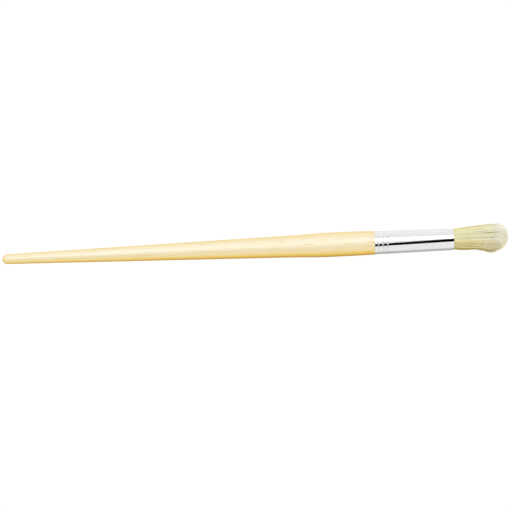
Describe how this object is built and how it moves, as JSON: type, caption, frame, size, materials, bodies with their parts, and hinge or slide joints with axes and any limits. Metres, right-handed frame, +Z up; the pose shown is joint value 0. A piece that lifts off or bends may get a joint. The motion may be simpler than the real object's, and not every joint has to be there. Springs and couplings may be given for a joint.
{
  "type": "round bristle brush",
  "caption": "Long-handled round brush: a tapered turned wooden handle, a crimped plated ferrule and a domed tuft of pale hog bristle that bends.",
  "frame": {"origin": "on the brush's axis, in the middle of the short cylindrical grip at the handle's thickest part", "axes": "+X along the brush towards the bristles, +Z up as it lies on a table"},
  "size_m": [0.32, 0.018, 0.018],
  "materials": {
    "wood": "pale birch under clear satin lacquer, faint lengthwise grain and small brown flecks",
    "plated_metal": "bright nickel plate, smooth and seamless",
    "cement": "hardened adhesive film",
    "resin": "hardened amber setting resin",
    "thread": "waxed cotton thread",
    "bristle": "natural white hog bristle, straw coloured with paler split tips and a soft sheen"
  },
  "bodies": {
    "brush": {"handle": "wood", "ferrule": "plated_metal", "tenon_cement": "cement", "setting_resin": "resin", "tie_thread": "thread", "bristle_roots": "bristle"},
    "heel": {"bristle_heel": "bristle"},
    "lower_belly": {"bristle_lower_belly": "bristle"},
    "upper_belly": {"bristle_upper_belly": "bristle"},
    "toe": {"bristle_toe": "bristle"}
  },
  "joints": [
    {"name": "heel_bend", "type": "hinge", "parent": "brush", "child": "heel", "pos_m": [0.0713, 0, 0], "axis": [0, 1, 0], "range_deg": [-15, 15], "stiffness_Nm_per_rad": 0.01},
    {"name": "lower_belly_bend", "type": "hinge", "parent": "heel", "child": "lower_belly", "pos_m": [0.08005, 0, 0], "axis": [0, 0, 1], "range_deg": [-15, 15], "stiffness_Nm_per_rad": 0.01},
    {"name": "upper_belly_bend", "type": "hinge", "parent": "lower_belly", "child": "upper_belly", "pos_m": [0.0888, 0, 0], "axis": [0, 1, 0], "range_deg": [-15, 15], "stiffness_Nm_per_rad": 0.01},
    {"name": "toe_bend", "type": "hinge", "parent": "upper_belly", "child": "toe", "pos_m": [0.09755, 0, 0], "axis": [0, 0, 1], "range_deg": [-15, 15], "stiffness_Nm_per_rad": 0.01}
  ],
  "couplings": [
    {"joint": "upper_belly_bend", "follows": "heel_bend", "ratio": 1},
    {"joint": "toe_bend", "follows": "lower_belly_bend", "ratio": 1}
  ]
}
